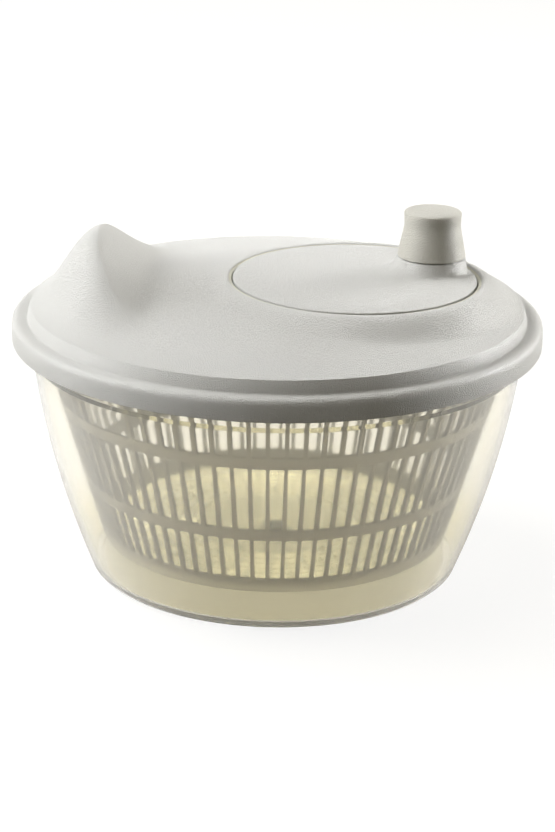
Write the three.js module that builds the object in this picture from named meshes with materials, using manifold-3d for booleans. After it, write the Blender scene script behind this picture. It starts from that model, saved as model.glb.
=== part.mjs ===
// Salad spinner: translucent bowl, slotted basket on a pivot, and a lid with a turntable crank that
// drives the basket through an internal gear. Millimetres, +Z up, origin at the centre of the bowl's foot.
import * as THREE from "three";
import { mergeVertices } from "three/addons/utils/BufferGeometryUtils.js";
import Module from "manifold-3d";

const wasm = await Module();
wasm.setup();

// ---- Driving dimensions ----------------------------------------------------------------------------

const radians = THREE.MathUtils.degToRad;
const FIT_GAP = 0.3; // clearance between neighbouring pieces

// Walls of revolution: radius at height z is foot + slope * z - bend * z^2
const BOWL_WALL = { foot: 88.2, slope: 0.4, bend: 0.00132 };
const BASKET_WALL = { foot: 78.6, slope: 0.29, bend: 0 };

const BOWL = { height: 120.3, wall: 2.2, floor: 3.2, underside: 1, segments: 48 };
const BOWL_LEDGE = { z: 104, rise: 1.5, wallAbove: 1.3 }; // step inside the wall, which is thinner above it
const BOWL_FLANGE = { r: 121.8, bottom: 118.2, under: 117.5, edge: 0.5 };
const BOWL_FOOT = { width: 2.2, inset: 1.2, bevel: 0.8 }; // the ring that the bowl stands on
const SPIKE = { baseR: 5, baseHeight: 1.6, r: 3.4, top: 13.4, bevel: 1 };

const BASKET = { bottom: 15.4, floor: 17.6, top: 113, wall: 2, flangeR: 112.3, ribs: 40 };
const BASKET_FLANGE = 2.5; // height of the flange at the basket's rim
const BASKET_CORNER = 2.6; // slope between the basket's floor and its wall
const BASKET_TURN = radians(2.75); // where the basket and its driver stand at rest
// The mould's 80 fine ribs are paired here: each slot stands for two, each rib is twice as wide.
const SLOT_TIERS = [
  { low: 23.2, high: 44.8, lowWidth: 9.6, highWidth: 11.6 },
  { low: 50.1, high: 83, lowWidth: 10.4, highWidth: 13.3 },
  { low: 88.6, high: 107, lowWidth: 12.4, highWidth: 13.7 },
];
// Two wide finger holes in the top tier: each joins two slots, so the rib after this slot is left out.
const FINGER_HOLES = { afterSlots: [15, 35], width: 8 };
// The floor's fine rings of slots are paired in the same way.
const FLOOR_RINGS = [
  { r: 42, width: 6, slots: 10 },
  { r: 53.7, width: 6, slots: 10 },
  { r: 65.3, width: 6, slots: 20 },
];
const FLOOR_SPOKE = 4; // solid floor left between two slots of a ring
const PIVOT_BUSH = { r: 5.5, bore: 3.9, bottom: 6.4, top: 15, roof: 13.7, bevel: 0.6 };
const PIVOT_BOSS = { wall: 3, bottom: 7.5 }; // the basket's sleeve round the pivot bush

const LID = { rimR: 125, rimBottom: 112.4, rimTop: 123, edgeR: 116, edgeZ: 129.2, apex: 141, shell: 2.4 };
const LID_RIM = { wall: 2.2, straightTop: 119, groove: 0.3 }; // the rim's outer wall and the groove inside it
const LID_SEGMENTS = 48;
const LID_SKIRT = { inner: 112.6, outer: 114.8, bottom: 113.5 }; // locates the lid inside the bowl
const WELL = { x: 36, r: 59.2, wall: 2, lipR: 60.8, bottom: 126.3, shoulder: 18 }; // seat of the turntable
const WELL_LEDGE = { r: 58, z: 139.4 }; // step that keeps dirt out of the gap round the turntable
const GRIP = { turn: radians(4), halfSpan: radians(52), crestR: 84.7, height: 27.5, outer: 33, inner: 25 };
const SCOOP = { curve: 1.8, lip: 0.1 }; // how the hollow falls, and how soft the edge at its top is
// Rings of the lid's skin, from the turntable's lip (0) to the dome's edge (1), closest at the grip's crest
const TOP_RINGS = [0, 0.12, 0.24, 0.35, 0.44, 0.52, 0.59, 0.64, 0.7, 0.77, 0.85, 0.93, 1];
const UNDER_RINGS = [0, 0.2, 0.4, 0.55, 0.66, 0.74, 0.84, 1];

const CRANK = { r: 57.4, top: 141, plate: 2.4, skirtBottom: 133.5, skirtWall: 2, hubR: 9, spindleR: 4 };
const SPINDLE_SCREW_TOP = 134.5; // end of the screw's hole inside the spindle
const GEAR = { module: 1.5, pressure: radians(20), addendum: 1.3, dedendum: 1.8, backlash: 0.3 };
const RING_GEAR = { teeth: 64, outerR: 55.1, bottom: 131, top: 138.3 };
const PINION = { teeth: 16, bottom: 130.9, top: 137.9, shaftR: 4, shaftBottom: 123.6 };
const PINION_END = { square: 6, bottom: 114.6, screwHole: 9 }; // the square that carries the basket driver

const KNOB = { reach: 40.9, azimuth: radians(26), base: 147.3, baseR: 16.2, waistR: 13.3, top: 169.4 };
const KNOB_WALL = 2.3;
const KNOB_SPINDLE = { r: 4, screwTop: 158 };
const BOSS = { topR: 16.4, top: 147, footR: 21, rampReach: 12, boreR: 4.3, pocketR: 6.4, pocketTop: 142 };

const COVER = { r: 69, bottom: 124, top: 126 };
const COVER_SLEEVE = { r: 9, bore: 4.3, top: 133, bushHole: 6.3, bushTop: 128.3 };
const COVER_WEBS = { count: 6, reach: 22, width: 1.6, drop: 3 };
const COVER_SCREWS = { r: 65.5, angles: [50, 130, 230, 310], bossR: 4, depth: 8, bite: 1.2 };
const BUSH = { bore: 4.3, r: 6, flangeR: 8.5, bottom: 123.7, flangeBottom: 128.6, top: 129.6 };
const SCREW = { shankR: 1.5, pilotR: 1.8, headR: 3.5, headHeight: 2, slotWidth: 1, slotDepth: 0.8 };
const WASHER = 1.2; // thickness of the screws' washers
const DRIVER = { r: 111.6, rimWidth: 7, rimTop: 115.3, rimBottom: 113.3, innerTop: 118.5 };
const DRIVER_HUB = { r: 9, bottom: 112.2, top: 122.4 };
const DRIVER_RIBS = { count: 8, width: 1.6, hubTop: 120, rimTop: 115.6, bottom: 113.7 };
const LUGS = { count: 8, width: 7, innerR: 109.5, bottom: 110.9, notchWidth: 8.8, notchDepth: 4 };

const PALE = { color: 0xe4e3dc, roughness: 0.35 };
const CLEAR = { color: 0xe6e3cf, roughness: 0.25, transparent: true, opacity: 0.5 };
const ACETAL = { color: 0xf2f1ec, roughness: 0.4 };
const STEEL = { color: 0xb9bcbf, roughness: 0.3, metalness: 1 };

// ---- Helpers ---------------------------------------------------------------------------------------

const wallRadius = (wall, z) => wall.foot + wall.slope * z - wall.bend * z * z;
const steps = (count) => Array.from({ length: count }, (_, i) => i);
const smooth = (t) => t * t * (3 - 2 * t);
const clamp01 = (t) => Math.min(1, Math.max(0, t));

// A closed geometry as a manifold solid.
function solid(geometry) {
  const bare = geometry.clone();
  for (const name of Object.keys(bare.attributes)) {
    if (name !== "position") bare.deleteAttribute(name);
  }
  const merged = mergeVertices(bare, 1e-4);
  return new wasm.Manifold(
    new wasm.Mesh({
      numProp: 3,
      vertProperties: merged.attributes.position.array,
      triVerts: new Uint32Array(merged.index.array),
    }),
  );
}

// A manifold solid back as a geometry.
function geometryOf(made) {
  const mesh = made.getMesh();
  const geometry = new THREE.BufferGeometry();
  geometry.setAttribute("position", new THREE.BufferAttribute(mesh.vertProperties, 3));
  geometry.setIndex(new THREE.BufferAttribute(mesh.triVerts, 1));
  geometry.computeVertexNormals();
  return geometry;
}

// A profile of [radius, z] turned about Z. It runs anticlockwise when radius points right and z up.
function turned(profile, segments, x = 0, y = 0) {
  const points = profile.map(([r, z]) => new THREE.Vector2(r, z));
  return new THREE.LatheGeometry(points, segments).rotateX(Math.PI / 2).translate(x, y, 0);
}

// A tube between two heights, with its outline closed on itself.
function sleeve(inner, outer, low, high, segments, x = 0, y = 0) {
  return turned([[inner, low], [outer, low], [outer, high], [inner, high], [inner, low]], segments, x, y);
}

// A plain rod between two heights.
function rod(r, low, high, segments, x = 0, y = 0) {
  return turned([[0, low], [r, low], [r, high], [0, high]], segments, x, y);
}

// An outline of [x, y] points made into a slab between two heights.
function slab(outline, low, high, holes = []) {
  const shape = new THREE.Shape(outline.map(([x, y]) => new THREE.Vector2(x, y)));
  shape.holes = holes.map((hole) => new THREE.Path(hole.map(([x, y]) => new THREE.Vector2(x, y))));
  const options = { depth: high - low, bevelEnabled: false };
  return new THREE.ExtrudeGeometry(shape, options).translate(0, 0, low);
}

function box(width, depth, low, high, x, y) {
  return new THREE.BoxGeometry(width, depth, high - low).translate(x, y, (low + high) / 2);
}

function circle(r, count, x = 0, y = 0) {
  return steps(count).map((i) => {
    const a = (2 * Math.PI * i) / count;
    return [x + r * Math.cos(a), y + r * Math.sin(a)];
  });
}

// Rings of points, each ring the next section of a skin, that closes on its first ring.
function closedSkin(rings) {
  const around = rings[0].length;
  const index = [];
  rings.forEach((_, i) => {
    const next = (i + 1) % rings.length;
    for (const j of steps(around)) {
      const k = (j + 1) % around;
      const [a, b, c, d] = [i * around + j, i * around + k, next * around + k, next * around + j];
      index.push(a, b, c, a, c, d);
    }
  });
  const geometry = new THREE.BufferGeometry();
  geometry.setAttribute("position", new THREE.Float32BufferAttribute(rings.flat(2), 3));
  geometry.setIndex(index);
  return geometry;
}

// ---- Bowl and basket -------------------------------------------------------------------------------

function bowlGeometry() {
  const outer = (z) => wallRadius(BOWL_WALL, z);
  const inner = (z) => outer(z) - BOWL.wall;
  const above = BOWL_LEDGE.z + BOWL_LEDGE.rise;
  const foot = outer(0) - BOWL_FOOT.inset;
  const outside = [2.4, 22, 48, 78, 116].map((z) => [outer(z), z]);
  const inside = [78, 48, 22].map((z) => [inner(z), z]);
  return turned(
    [
      [0, BOWL.underside],
      [foot - BOWL_FOOT.width - BOWL_FOOT.bevel, BOWL.underside],
      [foot - BOWL_FOOT.width, 0],
      [foot, 0],
      [outer(0) - 0.3, BOWL_FOOT.bevel],
      ...outside,
      [BOWL_FLANGE.r - 1, BOWL_FLANGE.under],
      [BOWL_FLANGE.r, BOWL_FLANGE.bottom],
      [BOWL_FLANGE.r, BOWL.height - BOWL_FLANGE.edge],
      [BOWL_FLANGE.r - BOWL_FLANGE.edge, BOWL.height],
      [outer(BOWL.height) - BOWL_LEDGE.wallAbove, BOWL.height],
      [outer(above) - BOWL_LEDGE.wallAbove, above],
      [inner(BOWL_LEDGE.z), BOWL_LEDGE.z],
      ...inside,
      [inner(6) - 1.2, 6],
      [inner(6) - 5, BOWL.floor],
      [SPIKE.baseR, BOWL.floor],
      [SPIKE.r, BOWL.floor + SPIKE.baseHeight],
      [SPIKE.r, SPIKE.top - SPIKE.bevel],
      [SPIKE.r - SPIKE.bevel, SPIKE.top],
      [0, SPIKE.top],
    ],
    BOWL.segments,
  );
}

// One upright slot's cutter: a tapered slab that points out along -Y, turned to its place.
function slotCutter(tier, turn) {
  const shape = new THREE.Shape([
    new THREE.Vector2(-tier.lowWidth / 2, tier.low),
    new THREE.Vector2(tier.lowWidth / 2, tier.low),
    new THREE.Vector2(tier.highWidth / 2, tier.high),
    new THREE.Vector2(-tier.highWidth / 2, tier.high),
  ]);
  const start = BASKET_WALL.foot - 2 * BASKET.wall;
  const cutter = new THREE.ExtrudeGeometry(shape, { depth: BASKET.flangeR - start, bevelEnabled: false });
  return cutter.rotateX(Math.PI / 2).translate(0, -start, 0).rotateZ(turn);
}

// One slot of the floor: a stretch of ring between two spokes.
function floorCutter({ r, width, slots }, i) {
  const pitch = (2 * Math.PI) / slots;
  const half = pitch / 2 - FLOOR_SPOKE / 2 / r;
  const arc = (radius, sign) =>
    steps(3).map((k) => {
      const a = (i + 0.5) * pitch + sign * half * (k - 1);
      return [radius * Math.cos(a), radius * Math.sin(a)];
    });
  return slab([...arc(r + width / 2, 1), ...arc(r - width / 2, -1)], BASKET.bottom - 2, BASKET.floor + 2);
}

// The notches through the basket's rim that the driver's lugs drop into.
function notchCutter(turn) {
  const low = LUGS.innerR - 2;
  const depth = BASKET.flangeR + 1 - low;
  const bottom = BASKET.top - LUGS.notchDepth;
  return box(depth, LUGS.notchWidth, bottom, BASKET.top + 1, low + depth / 2, 0).rotateZ(turn);
}

function basketGeometry() {
  const outer = (z) => wallRadius(BASKET_WALL, z);
  const inner = (z) => outer(z) - BASKET.wall;
  const flangeLow = BASKET.top - BASKET_FLANGE;
  const cornerOut = BASKET.bottom + BASKET_CORNER;
  const cornerIn = BASKET.floor + BASKET_CORNER;
  let basket = solid(
    turned(
      [
        [0, BASKET.bottom],
        [outer(BASKET.bottom) - BASKET_CORNER, BASKET.bottom],
        [outer(cornerOut), cornerOut],
        [outer(flangeLow), flangeLow],
        [BASKET.flangeR, flangeLow],
        [BASKET.flangeR, BASKET.top],
        [inner(BASKET.top), BASKET.top],
        [inner(cornerIn), cornerIn],
        [inner(BASKET.floor) - BASKET_CORNER, BASKET.floor],
        [0, BASKET.floor],
      ],
      BASKET.ribs,
    ),
  );
  const pitch = (2 * Math.PI) / BASKET.ribs;
  const cutters = [];
  for (const tier of SLOT_TIERS) {
    for (const i of steps(BASKET.ribs)) cutters.push(solid(slotCutter(tier, (i + 0.5) * pitch)));
  }
  const hole = { ...SLOT_TIERS.at(-1), lowWidth: FINGER_HOLES.width, highWidth: FINGER_HOLES.width };
  for (const slot of FINGER_HOLES.afterSlots) cutters.push(solid(slotCutter(hole, (slot + 1) * pitch)));
  for (const ring of FLOOR_RINGS) {
    for (const i of steps(ring.slots)) cutters.push(solid(floorCutter(ring, i)));
  }
  for (const i of steps(LUGS.count)) cutters.push(solid(notchCutter((i * 2 * Math.PI) / LUGS.count)));
  basket = basket.subtract(wasm.Manifold.union(cutters));
  const bore = PIVOT_BUSH.r + FIT_GAP + 0.1;
  const boss = sleeve(bore, bore + PIVOT_BOSS.wall, PIVOT_BOSS.bottom, BASKET.bottom + 1, 24);
  return geometryOf(basket.add(solid(boss)));
}

function pivotBushGeometry() {
  const { r, bore, bottom, top, roof, bevel } = PIVOT_BUSH;
  const inside = [[0, roof], [bore, roof], [bore, bottom]];
  const outside = [[r, bottom], [r, top - bevel], [r - bevel, top], [0, top]];
  return turned([...inside, ...outside], 24);
}

// ---- Lid -------------------------------------------------------------------------------------------

// Height of the grip over the dome: a crescent hill, steep outside, with a hollow scoop for the fingers.
function gripHeight(x, y) {
  const r = Math.hypot(x, y);
  const off = Math.atan2(y, -x) - GRIP.turn;
  const along = Math.abs(off) / GRIP.halfSpan;
  if (along >= 1) return 0;
  const crest = GRIP.height * Math.cos((Math.PI / 2) * along) ** 2;
  const outward = (r - GRIP.crestR) / GRIP.outer;
  if (outward >= 0) return outward < 1 ? crest * Math.cos((Math.PI / 2) * outward) ** 2 : 0;
  const inward = (GRIP.crestR - r) / (GRIP.inner * Math.cos((Math.PI / 2) * along));
  const fallen = ((1 + SCOOP.lip) * inward ** 2) / (inward + SCOOP.lip);
  return inward < 1 ? crest * (1 - fallen) ** SCOOP.curve : 0;
}

// Height of the lid's top surface between the turntable's lip and the edge of the dome. The lip stands
// level with the top of the dome, and the shoulder round it falls smoothly to the dome.
function lidTop(x, y) {
  const fall = LID.apex - LID.edgeZ + 0.6;
  const dome = LID.apex - fall * ((x * x + y * y) / LID.edgeR ** 2);
  const fromLip = clamp01((Math.hypot(x - WELL.x, y) - WELL.lipR) / WELL.shoulder);
  return dome + (LID.apex - dome) * (1 - smooth(fromLip)) + gripHeight(x, y);
}

// Height of the underside, the shell's thickness below the top along its normal.
function lidUnder(x, y) {
  const h = 0.5;
  const slopeX = (lidTop(x + h, y) - lidTop(x - h, y)) / (2 * h);
  const slopeY = (lidTop(x, y + h) - lidTop(x, y - h)) / (2 * h);
  return lidTop(x, y) - LID.shell * Math.min(2, Math.hypot(1, slopeX, slopeY));
}

// A ring of the lid: its centre slides from the turntable's axis (s = 0) to the lid's axis (s = 1).
function lidRing(s, innerR, outerR, height) {
  const r = innerR + (outerR - innerR) * s;
  return circle(r, LID_SEGMENTS, WELL.x * (1 - s), 0).map(([x, y]) => [x, y, height(x, y)]);
}

function lidGeometry() {
  const flat = (r, z, x = 0) => circle(r, LID_SEGMENTS, x, 0).map(([px, py]) => [px, py, z]);
  const roof = LID.rimTop - LID.shell;
  const rimInner = LID.rimR - LID_RIM.wall;
  const rings = [
    flat(WELL_LEDGE.r, WELL.bottom, WELL.x),
    flat(WELL.r + WELL.wall, WELL.bottom, WELL.x),
    ...UNDER_RINGS.map((s) => lidRing(s, WELL.r + WELL.wall, LID_SKIRT.inner, lidUnder)),
    flat(LID_SKIRT.inner, LID_SKIRT.bottom),
    flat(LID_SKIRT.outer, LID_SKIRT.bottom),
    flat(LID_SKIRT.outer, roof),
    flat(rimInner, roof),
    flat(rimInner, LID.rimBottom),
    flat(LID.rimR, LID.rimBottom),
    flat(LID.rimR, LID_RIM.straightTop),
    flat(LID.rimR - 0.3, LID.rimTop - 1.4),
    flat(LID.rimR - 1.4, LID.rimTop - 0.2),
    flat(LID.rimR - 3.5, LID.rimTop),
    flat(LID.edgeR + 2.4, LID.rimTop - LID_RIM.groove),
    flat(LID.edgeR + 1.4, LID.rimTop),
    flat(LID.edgeR + 0.8, LID.edgeZ - 1.2),
    ...TOP_RINGS.toReversed().map((s) => lidRing(s, WELL.lipR, LID.edgeR, lidTop)),
    flat(WELL.r + 0.7, CRANK.top, WELL.x),
    flat(WELL.r, CRANK.top - 0.8, WELL.x),
    flat(WELL.r, WELL_LEDGE.z, WELL.x),
    flat(WELL_LEDGE.r, WELL_LEDGE.z, WELL.x),
  ];
  let lid = solid(closedSkin(rings));
  for (const [x, y] of coverScrews) {
    const under = circle(COVER_SCREWS.bossR, 8, x, y).map(([px, py]) => lidUnder(px, py));
    const top = Math.min(...under) + COVER_SCREWS.bite;
    const hole = rod(SCREW.pilotR, WELL.bottom - 1, WELL.bottom + COVER_SCREWS.depth, 12, x, y);
    lid = lid.add(solid(rod(COVER_SCREWS.bossR, WELL.bottom, top, 16, x, y))).subtract(solid(hole));
  }
  return geometryOf(lid);
}

const coverScrews = COVER_SCREWS.angles.map((degrees) => [
  WELL.x + COVER_SCREWS.r * Math.cos(radians(degrees)),
  COVER_SCREWS.r * Math.sin(radians(degrees)),
]);

function gearCoverGeometry() {
  const { r, bore, top, bushHole, bushTop } = COVER_SLEEVE;
  const low = COVER.bottom - 1; // holes start below the plate
  let cover = solid(rod(COVER.r, COVER.bottom, COVER.top, 48, WELL.x));
  cover = cover.add(solid(rod(r, COVER.bottom, top, 24, WELL.x)));
  cover = cover.add(solid(rod(r, COVER.bottom, bushTop, 24)));
  const webStart = r - 1;
  const webLength = COVER_WEBS.reach - webStart;
  for (const i of steps(COVER_WEBS.count)) {
    const middle = webStart + webLength / 2;
    const web = box(webLength, COVER_WEBS.width, COVER.top - 0.5, top - COVER_WEBS.drop, middle, 0);
    const turn = ((i + 0.5) * 2 * Math.PI) / COVER_WEBS.count;
    cover = cover.add(solid(web.rotateZ(turn).translate(WELL.x, 0, 0)));
  }
  cover = cover.subtract(solid(rod(bore, low, top + 1, 24, WELL.x)));
  cover = cover.subtract(solid(rod(bushHole, low, bushTop + 1, 24)));
  for (const [x, y] of coverScrews) {
    cover = cover.subtract(solid(rod(SCREW.pilotR, low, COVER.top + 1, 12, x, y)));
  }
  return geometryOf(cover);
}

// ---- Crank -----------------------------------------------------------------------------------------

const KNOB_X = WELL.x + KNOB.reach * Math.cos(KNOB.azimuth);
const KNOB_Y = KNOB.reach * Math.sin(KNOB.azimuth);
const SPINDLE_END = COVER.bottom - FIT_GAP; // the turntable's spindle ends just below the gear cover
const KNOB_END = BOSS.pocketTop - 0.2; // the knob's spindle ends just inside the boss's pocket

// How far the turntable's edge lies from the knob's axis in direction a.
function edgeDistance(a) {
  const along = KNOB.reach * Math.cos(a - KNOB.azimuth);
  const edge = CRANK.r - 0.3;
  return -along + Math.sqrt(along ** 2 + edge ** 2 - KNOB.reach ** 2);
}

// The boss under the knob. Its foot reaches further towards the middle of the turntable.
function bossGeometry() {
  const around = 32;
  const buried = CRANK.top - CRANK.plate / 2;
  const rise = BOSS.top - CRANK.top;
  const ring = (share, z) =>
    steps(around).map((i) => {
      const a = (2 * Math.PI * i) / around;
      const inwards = Math.max(0, -Math.cos(a - KNOB.azimuth)) ** 3;
      const foot = Math.min(BOSS.footR + BOSS.rampReach * inwards, edgeDistance(a));
      const r = BOSS.topR + (foot - BOSS.topR) * share;
      return [KNOB_X + r * Math.cos(a), KNOB_Y + r * Math.sin(a), z];
    });
  // The flank's share of the foot's reach at shares of its height
  const flank = [[1, 0], [0.5, 0.2], [0.2, 0.5], [0.04, 0.9]];
  const middle = (z) => steps(around).map(() => [KNOB_X, KNOB_Y, z]);
  return closedSkin([
    middle(buried),
    ring(1, buried),
    ...flank.map(([share, height]) => ring(share, CRANK.top + height * rise)),
    ring(0, BOSS.top),
    middle(BOSS.top),
  ]);
}

function crankDiscGeometry() {
  const under = CRANK.top - CRANK.plate;
  const skirtInner = CRANK.r - CRANK.skirtWall;
  const shoulder = COVER_SLEEVE.top + 0.4; // the hub runs on the gear cover's sleeve
  let disc = solid(
    turned(
      [
        [0, SPINDLE_SCREW_TOP],
        [SCREW.pilotR, SPINDLE_SCREW_TOP],
        [SCREW.pilotR, SPINDLE_END],
        [CRANK.spindleR, SPINDLE_END],
        [CRANK.spindleR, shoulder],
        [CRANK.hubR, shoulder],
        [CRANK.hubR, under],
        [skirtInner, under],
        [skirtInner, CRANK.skirtBottom],
        [CRANK.r, CRANK.skirtBottom],
        [CRANK.r, CRANK.top - 1],
        [CRANK.r - 0.3, CRANK.top - 0.3],
        [CRANK.r - 1, CRANK.top],
        [0, CRANK.top],
      ],
      48,
      WELL.x,
    ),
  );
  disc = disc.add(solid(bossGeometry()));
  disc = disc.subtract(solid(rod(BOSS.boreR, under - 1, BOSS.top + 1, 20, KNOB_X, KNOB_Y)));
  disc = disc.subtract(solid(rod(BOSS.pocketR, under - 1, BOSS.pocketTop, 24, KNOB_X, KNOB_Y)));
  return geometryOf(disc);
}

function knobGeometry() {
  const { base, baseR, waistR, top } = KNOB;
  const roof = top - 2 * KNOB_WALL;
  return turned(
    [
      [0, KNOB_SPINDLE.screwTop],
      [SCREW.pilotR, KNOB_SPINDLE.screwTop],
      [SCREW.pilotR, KNOB_END],
      [KNOB_SPINDLE.r, KNOB_END],
      [KNOB_SPINDLE.r, roof],
      [waistR - KNOB_WALL, roof - 1],
      [baseR - KNOB_WALL, base],
      [baseR, base],
      [baseR, base + 0.8],
      [waistR, top - 6.4],
      [waistR + 0.05, top - 4.4],
      [waistR + 0.35, top - 1.9],
      [waistR + 0.15, top - 1],
      [waistR - 1.2, top - 0.3],
      [0, top],
    ],
    28,
    KNOB_X,
    KNOB_Y,
  );
}

// ---- Gears -----------------------------------------------------------------------------------------

const involute = (angle) => Math.tan(angle) - angle;
const pitchRadius = (teeth) => (GEAR.module * teeth) / 2;

// Half the angle that a tooth of an external gear covers at radius r, widened by extra at the pitch line.
function toothHalfAngle(teeth, r, extra) {
  const baseR = pitchRadius(teeth) * Math.cos(GEAR.pressure);
  const here = Math.acos(Math.min(1, baseR / r));
  return Math.PI / 2 / teeth + extra / pitchRadius(teeth) + involute(GEAR.pressure) - involute(here);
}

// A gear's outline. Half a pitch turns the first tooth away from the line between the two gears' axes.
function gearOutline(teeth, radii, extra) {
  const points = [];
  for (const i of steps(teeth)) {
    const middle = ((i + 0.5) * 2 * Math.PI) / teeth;
    const rising = radii.map((r) => [r, middle - toothHalfAngle(teeth, r, extra)]);
    const falling = radii.map((r) => [r, middle + toothHalfAngle(teeth, r, extra)]).reverse();
    points.push(...[...rising, ...falling].map(([r, a]) => [r * Math.cos(a), r * Math.sin(a)]));
  }
  return points;
}

function pinionGeometry() {
  const pitchR = pitchRadius(PINION.teeth);
  const radii = [pitchR - GEAR.dedendum, pitchR - 0.4, pitchR + 0.5, pitchR + GEAR.addendum];
  const teeth = gearOutline(PINION.teeth, radii, -GEAR.backlash / 4);
  const { square, bottom, screwHole } = PINION_END;
  let pinion = solid(slab(teeth, PINION.bottom, PINION.top));
  pinion = pinion.add(solid(rod(PINION.shaftR, PINION.shaftBottom, PINION.bottom + 1, 24)));
  pinion = pinion.add(solid(box(square, square, bottom, PINION.shaftBottom + 1, 0, 0)));
  pinion = pinion.subtract(solid(rod(SCREW.pilotR, bottom - 1, bottom + screwHole, 12)));
  return geometryOf(pinion);
}

// The ring gear's hole is the outline of an external gear with the same teeth, a little larger.
function ringGearGeometry() {
  const pitchR = pitchRadius(RING_GEAR.teeth);
  const radii = [pitchR - GEAR.addendum, pitchR + GEAR.dedendum];
  const hole = gearOutline(RING_GEAR.teeth, radii, GEAR.backlash / 4);
  const ring = slab(circle(RING_GEAR.outerR, 64), RING_GEAR.bottom, RING_GEAR.top, [hole]);
  return ring.translate(WELL.x, 0, 0);
}

// ---- Driver, bushes and fasteners ------------------------------------------------------------------

function driverGeometry() {
  const { r, rimTop, rimBottom, innerTop } = DRIVER;
  const hub = DRIVER_HUB;
  const rimInner = r - DRIVER.rimWidth;
  let driver = solid(
    turned(
      [
        [0, hub.bottom],
        [hub.r, hub.bottom],
        [hub.r, innerTop - 2],
        [rimInner, rimBottom],
        [r, rimBottom],
        [r, rimTop],
        [rimInner, rimTop],
        [hub.r, innerTop],
        [hub.r, hub.top],
        [0, hub.top],
      ],
      36,
    ),
  );
  const lugDepth = r - LUGS.innerR - FIT_GAP;
  for (const i of steps(LUGS.count)) {
    const lug = box(lugDepth, LUGS.width, LUGS.bottom, rimBottom + 0.5, LUGS.innerR + lugDepth / 2, 0);
    driver = driver.add(solid(lug.rotateZ((i * 2 * Math.PI) / LUGS.count)));
  }
  const ribs = DRIVER_RIBS;
  const outline = [
    [hub.r - 1, ribs.bottom],
    [rimInner - 2, ribs.bottom],
    [rimInner - 2, ribs.rimTop],
    [hub.r - 1, ribs.hubTop],
  ];
  for (const i of steps(ribs.count)) {
    const rib = slab(outline, -ribs.width / 2, ribs.width / 2).rotateX(Math.PI / 2);
    driver = driver.add(solid(rib.rotateZ(((i + 0.5) * 2 * Math.PI) / ribs.count)));
  }
  const socket = PINION_END.square + 2 * FIT_GAP;
  const socketFloor = PINION_END.bottom - FIT_GAP;
  const square = box(socket, socket, socketFloor, hub.top + 1, 0, 0).rotateZ(-BASKET_TURN);
  driver = driver.subtract(solid(square));
  driver = driver.subtract(solid(rod(SCREW.pilotR, hub.bottom - 1, socketFloor + 1, 12)));
  return geometryOf(driver);
}

function bushGeometry() {
  const { bore, r, flangeR, bottom, flangeBottom, top } = BUSH;
  const outside = [[r, bottom], [r, flangeBottom], [flangeR, flangeBottom], [flangeR, top]];
  return turned([[bore, bottom], ...outside, [bore, top], [bore, bottom]], 24);
}

// A screw's washer, which hangs just below its seat.
function washerGeometry(r, seat, x, y) {
  return sleeve(SCREW.pilotR, r, seat - FIT_GAP - WASHER, seat - FIT_GAP, 16, x, y);
}

// A screw that points up: its head is at the bottom, with a slot cut in it.
function screwGeometry(headTop, length, x, y) {
  const low = headTop - SCREW.headHeight;
  let screw = solid(
    turned(
      [
        [0, low],
        [SCREW.headR - 0.8, low],
        [SCREW.headR, low + 0.8],
        [SCREW.headR, headTop],
        [SCREW.shankR, headTop],
        [SCREW.shankR, headTop + length - 1],
        [0.6, headTop + length],
        [0, headTop + length],
      ],
      10,
    ),
  );
  screw = screw.subtract(solid(box(5, SCREW.slotWidth, low - 1, low + SCREW.slotDepth, 0, 0)));
  return geometryOf(screw.translate([x, y, 0]));
}

// ---- Scene graph -----------------------------------------------------------------------------------

const spinner = new THREE.Group();

function place(parent, name, geometry, look) {
  const mesh = new THREE.Mesh(geometry, new THREE.MeshStandardMaterial(look));
  mesh.name = name;
  parent.add(mesh);
}

const spinning = new THREE.Group(); // what turns with the basket stands turned by the same angle at rest
spinning.rotation.z = BASKET_TURN;
spinner.add(spinning);

place(spinner, "bowl", bowlGeometry(), CLEAR);
place(spinner, "pivot_bush", pivotBushGeometry(), ACETAL);
place(spinning, "basket", basketGeometry(), CLEAR);

place(spinner, "lid", lidGeometry(), PALE);
place(spinner, "gear_cover", gearCoverGeometry(), PALE);
coverScrews.forEach(([x, y], i) => {
  place(spinner, "cover_screw_" + (i + 1), screwGeometry(COVER.bottom - FIT_GAP, 9, x, y), STEEL);
});

const underWasher = WASHER + 2 * FIT_GAP; // from a screw's seat down to the top of its head

place(spinner, "crank_disc", crankDiscGeometry(), PALE);
place(spinner, "ring_gear", ringGearGeometry(), ACETAL);
place(spinner, "axle_washer", washerGeometry(7.5, SPINDLE_END, WELL.x, 0), STEEL);
place(spinner, "axle_screw", screwGeometry(SPINDLE_END - underWasher, 11, WELL.x, 0), STEEL);

place(spinner, "crank_knob", knobGeometry(), PALE);
place(spinner, "knob_washer", washerGeometry(5.8, KNOB_END, KNOB_X, KNOB_Y), STEEL);
place(spinner, "knob_screw", screwGeometry(KNOB_END - underWasher, 14, KNOB_X, KNOB_Y), STEEL);

const thrustWasher = sleeve(BUSH.bore, BUSH.flangeR, BUSH.top + FIT_GAP, PINION.bottom - FIT_GAP, 16);
place(spinner, "drive_pinion", pinionGeometry(), ACETAL);
place(spinner, "pinion_bush", bushGeometry(), ACETAL);
place(spinner, "thrust_washer", thrustWasher, STEEL);

place(spinning, "basket_driver", driverGeometry(), PALE);
place(spinner, "driver_washer", washerGeometry(6, DRIVER_HUB.bottom, 0, 0), STEEL);
place(spinner, "driver_screw", screwGeometry(DRIVER_HUB.bottom - underWasher, 12, 0, 0), STEEL);

export default spinner;
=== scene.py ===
"""Looks of the salad spinner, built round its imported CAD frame.

Shapes are worked out in millimetres in the row frame and turned into metres when a mesh is made.
"""

import math

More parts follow.
